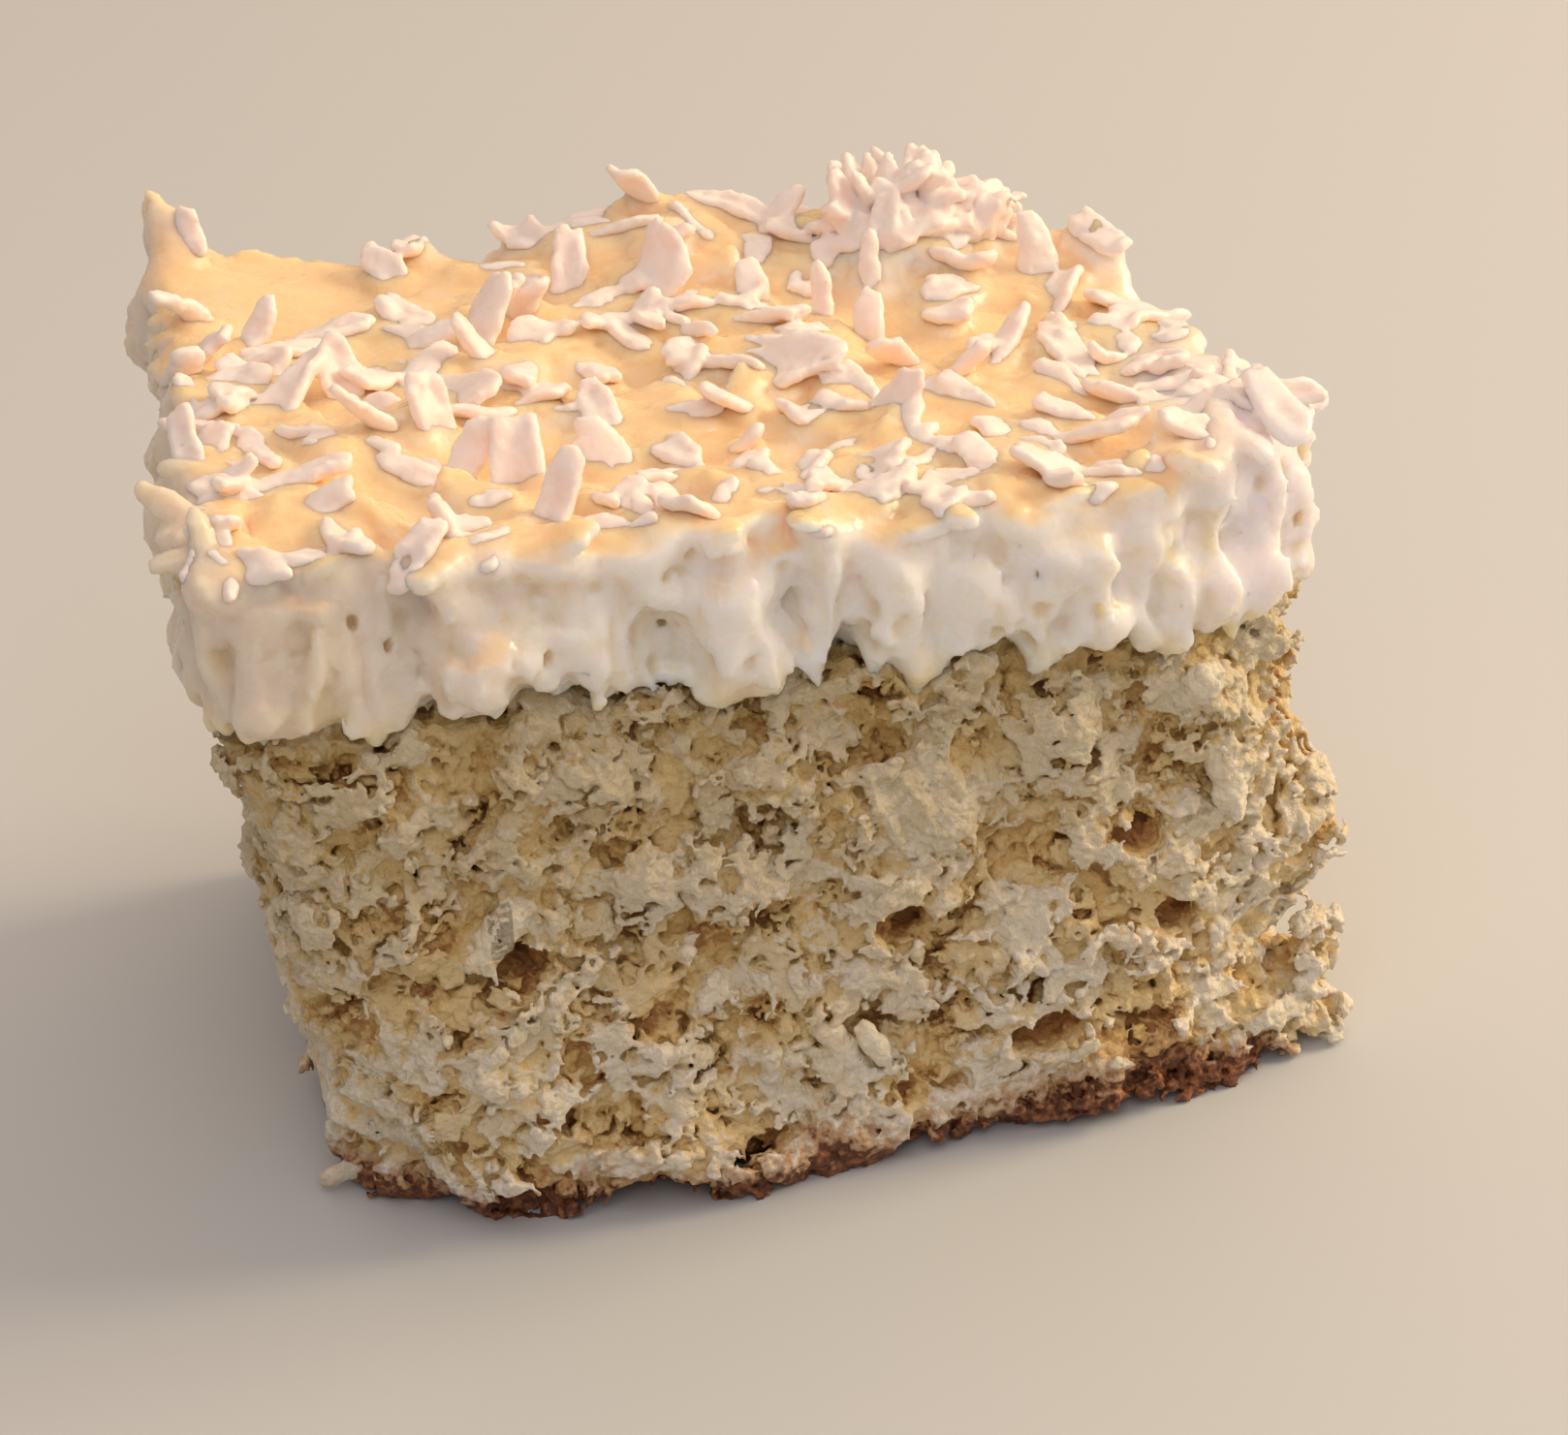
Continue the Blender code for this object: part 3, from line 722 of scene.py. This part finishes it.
def flake_mesh(number, length, width):
    """A flake's thin core: blunt corners, a ragged rim, a bend along it and a hollow across."""
    mesh = bmesh.new()
    bmesh.ops.create_uvsphere(
        mesh, u_segments=FLAKE_SEGMENTS, v_segments=FLAKE_RINGS, radius=1.0
    )
    draw = random.Random(number)
    corners = []
    for side in range(FLAKE_SIDES):
        facing = FULL_TURN * (side + draw.uniform(-SIDE_TURN, SIDE_TURN)) / FLAKE_SIDES
        corners.append((facing, draw.uniform(*SIDE_DISTANCE)))
    bend = draw.uniform(-FLAKE_BEND, FLAKE_BEND) * length
    cup = draw.uniform(*FLAKE_CUP) * width
    twist = draw.uniform(-FLAKE_TWIST, FLAKE_TWIST)
    ragged_size, ragged_depth = FLAKE_RIM
    crumple_size, crumple_depth = FLAKE_CRUMPLE
    inset = RADIUS_SHARE * FLAKE_RADIUS
    for vert in mesh.verts:
        turn = math.atan2(vert.co.y, vert.co.x)
        out = math.sqrt(math.hypot(vert.co.x, vert.co.y))
        facing = (max(math.cos(turn - side), 0.0) / distance for side, distance in corners)
        outline = sum(share**FLAKE_CORNER for share in facing) ** (-1 / FLAKE_CORNER)
        rim = out * min(FLAKE_TIP, outline)
        along = math.copysign(abs(rim * math.cos(turn)) ** FLAKE_END, math.cos(turn))
        across = rim * math.sin(turn)
        spot = Vector((along * length, across * width, FLAKE_SLIDE * number))
        ragged = 1.0 + ragged_depth * noise.noise(spot / ragged_size) * out
        z = FLAKE_CORE * vert.co.z + bend * along * along + cup * across * across
        z += TWIST_SHARE * twist * along * across * width
        z += crumple_depth * noise.noise(spot / crumple_size)
        x = (0.5 * length - inset) * along * ragged
        y = (0.5 * width - inset) * across * ragged
        vert.co = Vector((x, y, z))
    bmesh.ops.recalc_face_normals(mesh, faces=mesh.faces)
    return mesh


def flake_heap(name, found, roof):
    """Flakes as one piece. None stands above the roof."""
    heap = bmesh.new()
    for number, (x, y, length, width, heading, rise, *lifts) in enumerate(found):
        mesh = flake_mesh(number, length, width)
        climb = math.sin(math.radians(rise))
        lift = FLAKE_LIFT + length * climb * (0.5 - FLAKE_BEDDED) + sum(lifts)
        place = Matrix.Translation((x, y, frosting_top(x, y) + lift))
        place @= Matrix.Rotation(math.radians(heading), 4, "Z")
        place @= Matrix.Rotation(-math.radians(rise), 4, "Y")
        roll = random.Random(number).uniform(-FLAKE_ROLL, FLAKE_ROLL)
        place @= Matrix.Rotation(roll, 4, "X")
        bmesh.ops.transform(mesh, matrix=place, verts=mesh.verts)
        excess = max(vert.co.z for vert in mesh.verts) + FLAKE_RADIUS - roof
        bmesh.ops.translate(mesh, vec=(0.0, 0.0, -max(excess, 0.0)), verts=mesh.verts)
        part = bpy.data.meshes.new("flake")
        mesh.to_mesh(part)
        mesh.free()
        heap.from_mesh(part)
        bpy.data.meshes.remove(part)
    centred(heap)
    return as_object(name, heap)


def in_millimetres(graph, place):
    return graph.scaled(place, (1 / MM, 1 / MM, 1 / MM))


def geometry_graph(name):
    tree = bpy.data.node_groups.new(name, "GeometryNodeTree")
    tree.interface.new_socket("Geometry", in_out="INPUT", socket_type="NodeSocketGeometry")
    tree.interface.new_socket("Geometry", in_out="OUTPUT", socket_type="NodeSocketGeometry")
    return Graph(tree)


def mesh_of(graph, piece):
    settings = {"transform_space": "ORIGINAL"}
    return graph.add("GeometryNodeObjectInfo", settings, {"Object": piece}, "Geometry")


def nearest_on(graph, target):
    """The node that finds the nearest point on a mesh's faces, and how far off it is."""
    settings = {"target_element": "FACES"}
    return graph.node("GeometryNodeProximity", settings, {"Geometry": target})


def depth_inside(graph, target, place):
    """Millimetres below the target's surface, negative outside it, and the way out of it."""
    nearest = nearest_on(graph, target)
    settings = {"data_type": "FLOAT_VECTOR"}
    values = {"Mesh": target, "Value": graph.add("GeometryNodeInputNormal")}
    outward = graph.add("GeometryNodeSampleNearestSurface", settings, values)
    offset = graph.vector("SUBTRACT", place, Wire(graph, nearest.outputs["Position"]))
    side = graph.vector("DOT_PRODUCT", offset, outward, "Value")
    sign = graph.add("ShaderNodeMath", {"operation": "SIGN"}, {0: side})
    return Wire(graph, nearest.outputs["Distance"]) * sign * (-1.0 / MM), outward


def away_from(graph, target):
    """Millimetres from the target's surface."""
    return Wire(graph, nearest_on(graph, target).outputs["Distance"]) * (1 / MM)


def carve(name, lowest, highest, voxel, solid_at, merge, least_shell=None):
    """A mesh round the space where solid_at is positive, on a lattice of voxels of that size.

    The marks that solid_at gives beside it are kept on the mesh, for its finish."""
    graph = geometry_graph(name)
    place = graph.add("GeometryNodeInputPosition")
    first = [math.floor(low / voxel) for low in lowest]
    last = [math.ceil(high / voxel) for high in highest]
    solid, marks = solid_at(graph, place)
    values = {
        "Density": solid,
        "Background": -1.0,
        "Min": [count * voxel * MM for count in first],
        "Max": [count * voxel * MM for count in last],
    }
    for axis, low, high in zip("XYZ", first, last):
        values["Resolution " + axis] = high - low + 1
    volume = graph.add("GeometryNodeVolumeCube", None, values)
    values = {"Volume": volume, "Threshold": 0.0, "Adaptivity": merge}
    mesh = graph.add("GeometryNodeVolumeToMesh", None, values)
    for mark, value in marks.items():
        settings = {"data_type": "FLOAT", "domain": "POINT"}
        values = {"Geometry": mesh, "Name": mark, "Value": value}
        mesh = graph.add("GeometryNodeStoreNamedAttribute", settings, values)
    graph.node("NodeGroupOutput", None, {"Geometry": mesh})
    seed = bpy.data.meshes.new(name)
    piece = placed(name, seed)
    piece.modifiers.new("carve", "NODES").node_group = graph.tree
    bpy.context.view_layer.update()
    finished = piece.evaluated_get(bpy.context.evaluated_depsgraph_get())
    carved = bpy.data.meshes.new_from_object(finished)
    piece.modifiers.clear()
    piece.data = carved
    bpy.data.meshes.remove(seed)
    bpy.data.node_groups.remove(graph.tree)
    carved.name = name
    drop_scraps(carved, least_shell)
    carved.shade_smooth()
    return piece


def drop_scraps(data, least_shell):
    """Leaves a mesh's shells of least_shell vertices or more, or only the largest without it."""
    count = len(data.vertices)
    edges = np.empty(2 * len(data.edges), dtype=np.int64)
    data.edges.foreach_get("vertices", edges)
    first, second = edges.reshape(-1, 2).T
    shell = np.arange(count)
    while True:
        lowest = np.minimum(shell[first], shell[second])
        spread = shell.copy()
        np.minimum.at(spread, first, lowest)
        np.minimum.at(spread, second, lowest)
        spread = spread[spread]
        if np.array_equal(spread, shell):
            break
        shell = spread
    labels, sizes = np.unique(shell, return_counts=True)
    keep = labels[sizes >= (least_shell or sizes.max())]
    mesh = bmesh.new()
    mesh.from_mesh(data)
    mesh.verts.ensure_lookup_table()
    scraps = [mesh.verts[index] for index in np.flatnonzero(~np.isin(shell, keep))]
    bmesh.ops.delete(mesh, geom=scraps, context="VERTS")
    mesh.to_mesh(data)
    mesh.free()


def within(parts, spot, reach):
    """1 in the middle of an oval spot in the front, 0 at its rim and less outside it."""
    x, y, height = parts
    middle_x, middle_y, middle_z, half_length, half_width, tilt = spot
    turn = math.radians(tilt)
    from_x, from_z = x - middle_x, height - middle_z
    along = (from_x * math.cos(turn) + from_z * math.sin(turn)) * (1 / half_length)
    across = (from_z * math.cos(turn) - from_x * math.sin(turn)) * (1 / half_width)
    near = (y - middle_y) * (1 / reach)
    return 1.0 - (along * along + across * across + near * near)


def crumb_at(form, across, along, voxel):
    """The carving rule of the torn sponge: the depth below its solid, less all that tore away.

    Just beyond the block's own bounds it dips, so that the next block's surface lies over it."""

    def nearby(spots):
        """The spots that this block holds or touches."""
        for spot in spots.values():
            beside = across[0] - 2 * spot[3] < spot[0] < across[1] + 2 * spot[3]
            if beside and along[0] - HOLE_REACH < spot[1] < along[1] + HOLE_REACH:
                yield spot

    def solid_at(graph, place):
        depth, _ = depth_inside(graph, mesh_of(graph, form), place)
        point = in_millimetres(graph, place)
        x, y, height = parts = graph.parts(point)
        for spot in nearby(CRUMB_LUMPS):
            depth = depth.most(within(parts, spot, LUMP_REACH) * (spot[4] / 2))
        sway = graph.noise(point, 1.0, 1.0, output="Color")
        swayed = graph.moved(point, graph.scaled(sway, (SWAY, SWAY, SWAY)))
        flat = graph.scaled(point, (1.0, 1.0, FLATNESS))
        gaping = graph.noise(point, GAP_PATCHES, 1.0).ramp(*GAP_START, 0.0, GAP_SHARE)
        lobed = -LOBE_MEAN
        for size, share in LOBES:
            lobed = graph.cells(swayed, size) * share + lobed
        lost = 0.0
        rim = 0.0
        for number, (size, level, drop) in enumerate(LAYERS):
            slid = graph.moved(flat, [number * part for part in LAYER_SLIDE])
            torn = graph.noise(slid, size, 1.0) + lobed * (LOBE_LAYER / size)
            fallen = torn.ramp(level, level + LAYER_EDGE)
            gap = torn.ramp(level + GAP_WIDTH / 2, level + GAP_WIDTH * 3 / 2, 1.0, 0.0) * gaping
            lost = fallen * (gap + 1.0) * drop + lost
            # The rim just short of each layer's level marks where the torn edges are painted paler,
            # as a highlight.
            rim = torn.ramp(level - RIM, level) * (1.0 - fallen) + rim
        for spot in nearby(WHOLE_PLACES):
            whole = within(parts, spot, HOLE_REACH) + lobed * SPOT_LOBES
            lost *= whole.ramp(0.0, WHOLE_RIM, 1.0, WHOLE_SHARE)
        for spot in nearby(CRUMB_HOLES):
            hole = within(parts, spot, HOLE_REACH) + lobed * SPOT_LOBES
            lost += hole.ramp(0.0, HOLE_WALL) * HOLE_DEPTH
        solid = depth + (graph.noise(point, BROAD_SIZE, 1.0) - 0.5) * BROAD_DEPTH - lost
        for size, rise in GRAIN_SIZES:
            solid += (GRAIN_MEAN - graph.cells(swayed, size)) * rise
        solid += (graph.noise(point, FINE_GRAIN[0], 1.0) - 0.5) * FINE_GRAIN[1]
        for beyond in (across[0] - x, x - across[1], along[0] - y, y - along[1]):
            solid -= beyond.ramp(0.0, DIP_WIDTH * voxel, 0.0, DIP)
        shred = NO_SHRED
        rough = (graph.noise(point, SHRED_GRAIN, 2.0) - 0.5) * SHRED_ROUGHNESS
        for spot in nearby(SHREDS):
            field = within(parts, spot, spot[4] * SHRED_THICKNESS) * (spot[4] / 2)
            shred = (field + rough + lobed).most(shred)
        marks = {"recess": depth, "lost": lost, "rim": rim, "shred": shred}
        return solid.least(depth + PROUD).most(shred).least(height), marks

    return solid_at


def flakes_at(cores, frosting):
    """The carving rule of the flakes: all that lies near their cores or in the middle of the heap,
    down to a little way into the frosting."""

    def solid_at(graph, place):
        point = in_millimetres(graph, place)
        rough = (graph.noise(point, FLAKE_GRAIN, 2.0) - 0.5) * FLAKE_ROUGHNESS
        nearest = Wire(graph, nearest_on(graph, mesh_of(graph, frosting)).outputs["Position"])
        above = graph.parts(graph.vector("SUBTRACT", place, nearest))[2] * (1 / MM)
        body = FLAKE_RADIUS + rough - away_from(graph, mesh_of(graph, cores))
        heap_x, heap_y = HEAP_PLACE[:2]
        offset = graph.vector("SUBTRACT", point, (heap_x, heap_y, frosting_top(heap_x, heap_y)))
        inner = graph.scaled(offset, [1 / half for half in HEAP_CORE])
        inner = graph.vector("LENGTH", inner, output="Value")
        lump_size, lump_height = HEAP_LUMPS
        lumps = (graph.noise(point, lump_size, 1.0) - 0.5) * lump_height
        body = body.most(1.0 - inner + lumps)
        return body.least(above + FLAKE_BURIED), {}

    return solid_at


def frosting_at(form, flake_cores, coated_cores):
    """The carving rule of the frosting, which climbs the flakes on it and covers those in it."""

    def solid_at(graph, place):
        depth, outward = depth_inside(graph, mesh_of(graph, form), place)
        upright = 1.0 - graph.parts(outward)[2].most(0.0)
        near, far, height = CLIMB
        climb = away_from(graph, mesh_of(graph, flake_cores)).ramp(near, far, height, 0.0)
        coat = away_from(graph, mesh_of(graph, coated_cores))
        point = in_millimetres(graph, place)
        grain = (graph.noise(point, CREAM_GRAIN, 2.0) - 0.5) * CREAM_GRAIN_HEIGHT
        along = graph.scaled(point, [1 / size for size in FINE_DRAG])
        drag = (graph.noise(along, 1.0, 1.0) - 0.5) * upright * FINE_DRAG_DEPTH
        pits = graph.cells(graph.scaled(point, (1.0, 1.0, PIT_LENGTH)), PIT_SIZE)
        stretched = graph.scaled(point, (1.0, 1.0, SMEAR_LENGTH))
        smeared = 0.0
        lobed = -LOBE_MEAN
        for size, share in SMEAR_LOBES:
            lobed = graph.cells(stretched, size) * share + lobed
        for number, (size, level, drop) in enumerate(SMEARS, SMEAR_START):
            slid = graph.moved(stretched, [number * part for part in LAYER_SLIDE])
            torn = graph.noise(slid, size, 1.0) + lobed
            smeared = torn.ramp(level, level + SMEAR_EDGE) * drop + smeared
        side = upright.ramp(*UPRIGHT)
        relief = drag + grain - (pits.ramp(*PIT_WALL, PIT_DEPTH, 0.0) + smeared) * side
        body = depth + climb + coat.ramp(COAT, *COAT_FOOT, 0.0)
        # How far the surface faces up, which sets where the frosting is painted in warm light.
        facing = graph.moved(outward, graph.add("GeometryNodeInputNormal"))
        spread = graph.parts(facing)[2] * 0.5
        return (COAT - coat).most(body) + relief, {"relief": relief, "spread": spread}

    return solid_at


def shader_graph(name):
    material = bpy.data.materials.new(name)
    material.use_nodes = True
    tree = material.node_tree
    tree.nodes.clear()
    graph = Graph(tree)
    place = graph.add("ShaderNodeTexCoord", output="Object")
    return material, graph, in_millimetres(graph, place)


def mark_of(graph, name):
    """What the carving kept of a mark, over the surface."""
    return graph.add("ShaderNodeAttribute", {"attribute_name": name}, output="Fac")


def bump(graph, height, distance):
    values = {"Height": height, "Distance": distance * MM, "Strength": 1.0}
    return graph.add("ShaderNodeBump", None, values)


def shade(graph, sockets):
    settings = {"subsurface_method": "RANDOM_WALK"}
    shader = graph.add("ShaderNodeBsdfPrincipled", settings, sockets)
    graph.node("ShaderNodeOutputMaterial", None, {"Surface": shader})


def crumb_material():
    material, graph, point = shader_graph("sponge crumb")
    recess, lost, rim, shred = [mark_of(graph, name) for name in ("recess", "lost", "rim", "shred")]
    hollow = lost + (recess - 0.5) * 0.25
    patches = graph.noise(point, 4.0, 3.0)
    specks = graph.noise(point, 0.5, 2.0)
    x, _, height = graph.parts(point)
    colour = graph.mix(patches.ramp(0.35, 0.65), *CRUMB_PALE)
    colour = graph.mix(specks.ramp(0.5, 0.75), colour, CRUMB_SPECK)
    # Painted highlight: paler along the torn edges of the layers.
    colour = graph.mix(rim.ramp(0.3, 1.0, 0.0, 0.3), colour, CRUMB_RIM_HIGHLIGHT)
    # Painted shade: the deeper the torn hollow, the darker and browner the crumb is painted.
    for start, full, deeper in CRUMB_HOLLOW_SHADES:
        colour = graph.mix(hollow.ramp(start, full), colour, deeper)
    moist = (height + (patches - 0.5) * 12.0 - x * 0.12).ramp(*MOIST_RISE)
    colour = graph.vector("MULTIPLY", colour, graph.mix(moist, *CRUMB_TINTS))
    bare = x.ramp(*CRUST_BARE)
    thick = x.ramp(*CRUST_THICK) * x.ramp(*CRUST_THICK_END)
    edge = height + (patches - 0.5) * 6.0 + (specks - 0.5) * 4.0 + (bare - thick)
    baked = graph.mix(specks.ramp(0.4, 0.65), *CRUST_BAKED)
    colour = graph.mix(edge.ramp(*TOAST_RISE), colour, CRUST_TOASTED)
    colour = graph.mix(edge.ramp(*CRUST_RISE), colour, baked)
    colour = graph.mix(shred.ramp(-0.12, 0.0, 0.0, 0.75), colour, SHRED_COLOUR)
    grain = graph.noise(point, 0.28, 2.0, 0.75) - graph.cells(point, 0.55) * 1.2
    sockets = {
        "Base Color": colour,
        "Roughness": 0.55,
        "Subsurface Weight": 0.2,
        "Subsurface Radius": (1.0, 0.6, 0.3),
        "Subsurface Scale": 0.45 * MM,
        "Normal": bump(graph, grain, 0.16),
    }
    shade(graph, sockets)
    return material


def frosting_material():
    material, graph, point = shader_graph("cream frosting")
    patches = graph.noise(point, 3.6, 3.0)
    lift = mark_of(graph, "relief") + (patches - 0.5) * 0.4
    x, y, height = graph.parts(point)
    corner = x.ramp(19.0, 26.0) * y.ramp(-9.0, -1.0, 1.0, 0.0)
    left_edge = x.ramp(-31.0, -29.0, 1.0, 0.0)
    low = height + x * 0.07 + (patches - 0.5) * 7.0
    # Painted shade: the cut frosting is darker and yellower in its hollows.
    side = graph.mix(lift.ramp(*CREAM_SHADE), *CREAM_HOLLOW_SHADE)
    # Painted shade, darker and yellower towards the left end of the cut frosting.
    side = graph.vector("MULTIPLY", side, graph.mix(x.ramp(*CREAM_LEFT_SHADE_END), CREAM_LEFT_SHADE, WHITE))
    side = graph.vector("MULTIPLY", side, graph.mix(corner, WHITE, CREAM_CORNER))
    side = graph.mix(low.ramp(*CREAM_FOOT_RISE), CREAM_FOOT, side)
    # Painted warm light on what faces up, a little darker in low places as painted shade; the right
    # corner and the left edge keep the cut side's colour.
    top = graph.mix(lift.ramp(-0.2, 0.2), *CREAM_WARM_LIT_TOP)
    warm_lit_share = (mark_of(graph, "spread") + (patches - 0.5) * 0.9).ramp(0.4, 1.0)
    warm_lit_share *= 1.0 - corner.most(left_edge) * 0.85
    sockets = {
        "Base Color": graph.mix(warm_lit_share, side, top),
        "Roughness": graph.noise(point, 1.5, 1.0).ramp(0.3, 0.7, 0.2, 0.42),
        "Subsurface Weight": 1.0,
        "Subsurface Radius": (1.0, 0.75, 0.45),
        "Subsurface Scale": 2.0 * MM,
        "Normal": bump(graph, graph.noise(point, 0.7, 1.0), 0.09),
    }
    shade(graph, sockets)
    return material


def flake_material():
    material, graph, point = shader_graph("coconut flake")
    sockets = {
        "Base Color": graph.mix(graph.noise(point, 1.6, 1.0).ramp(0.35, 0.65), *FLAKE_WHITE),
        "Roughness": 0.45,
        "Subsurface Weight": 0.85,
        "Subsurface Radius": (1.0, 0.8, 0.6),
        "Subsurface Scale": 0.5 * MM,
        "Normal": bump(graph, graph.noise(point, 0.45, 0.0), 0.05),
    }
    shade(graph, sockets)
    return material


def dress(piece, node, material):
    """Gives a piece its finish and its place in the frame."""
    piece.data.materials.clear()
    piece.data.materials.append(material)
    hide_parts(node)
    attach(piece, "root")


def floor():
    mesh = bmesh.new()
    bmesh.ops.create_grid(mesh, x_segments=1, y_segments=1, size=FLOOR_HALF)
    data = bpy.data.meshes.new("floor")
    mesh.to_mesh(data)
    mesh.free()
    material, graph, _ = shader_graph("pale floor")
    shade(graph, {"Base Color": FLOOR_COLOUR, "Roughness": 0.8})
    data.materials.append(material)
    placed("floor", data)


def turned(degrees, axis):
    return Matrix.Rotation(math.radians(degrees), 4, axis)


def lamp(name, azimuth, elevation, distance, size, power, colour):
    """A square soft light that faces the slice."""
    light = bpy.data.lights.new(name, "AREA")
    light.size = size
    light.energy = power
    light.color = colour
    away = Matrix.Translation((0.0, 0.0, distance))
    placed(name, light).matrix_world = turned(azimuth, "Z") @ turned(90.0 - elevation, "X") @ away


def studio():
    world = bpy.data.worlds.new("studio")
    world.use_nodes = True
    backdrop = world.node_tree.nodes["Background"]
    backdrop.inputs["Color"].default_value = SKY_COLOUR
    backdrop.inputs["Strength"].default_value = SKY_STRENGTH
    bpy.context.scene.world = world
    for name, settings in LAMPS.items():
        lamp(name, *settings)


def camera():
    lens = bpy.data.cameras.new("camera")
    lens.sensor_width = SENSOR_WIDTH
    lens.lens = SENSOR_WIDTH * FOCAL_PIXELS / IMAGE_WIDTH
    lens.clip_start = 0.01
    turns = turned(CAMERA_TURN, "Z") @ turned(CAMERA_TILT, "X") @ turned(CAMERA_ROLL, "Z")
    holder = placed("camera", lens)
    holder.matrix_world = Matrix.Translation(CAMERA_PLACE) @ turns
    bpy.context.scene.camera = holder


def sponge_blocks(form):
    """The torn sponge, carved block by block."""
    crumb = crumb_material()
    low, high = ([value / MM for value in corner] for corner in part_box("sponge"))
    for name, (across, along, voxel) in CRUMB_BLOCKS.items():
        beyond = BLOCK_OVERLAP * voxel
        left = max(across[0], low[0] - BLOCK_MARGIN) - beyond
        near = max(along[0], low[1] - BLOCK_MARGIN) - beyond
        right = min(across[1], high[0] + BLOCK_MARGIN) + beyond
        far = min(along[1], high[1] + BLOCK_MARGIN) + beyond
        corners = ((left, near, -voxel), (right, far, high[2] + BLOCK_MARGIN))
        rule = crumb_at(form, across, along, voxel)
        dress(carve(name, *corners, voxel, rule, CRUMB_MERGE), "sponge", crumb)


bpy.context.scene.view_settings.view_transform = "Standard"
camera()
studio()
floor()

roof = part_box("frosting")[1][2] / MM
flake_cores = flake_heap("flake_cores", flakes() + slivers() + heaped(), roof)
coated_cores = flake_heap("coated_cores", coated(), roof - COAT)
cream_form = frosting_form()
rule = flakes_at(flake_cores, cream_form)
coconut = carve("coconut_flakes", *FLAKE_BLOCK, FLAKE_VOXEL, rule, SMOOTH_MERGE, FLAKE_LEAST)
rule = frosting_at(cream_form, flake_cores, coated_cores)
cream = carve("frosting_cream", *FROSTING_BLOCK, FROSTING_VOXEL, rule, SMOOTH_MERGE)
dress(cream, "frosting", frosting_material())
dress(coconut, "frosting", flake_material())
crumb_form = sponge_form()
sponge_blocks(crumb_form)
for form in (cream_form, crumb_form, flake_cores, coated_cores):
    bpy.data.objects.remove(form)
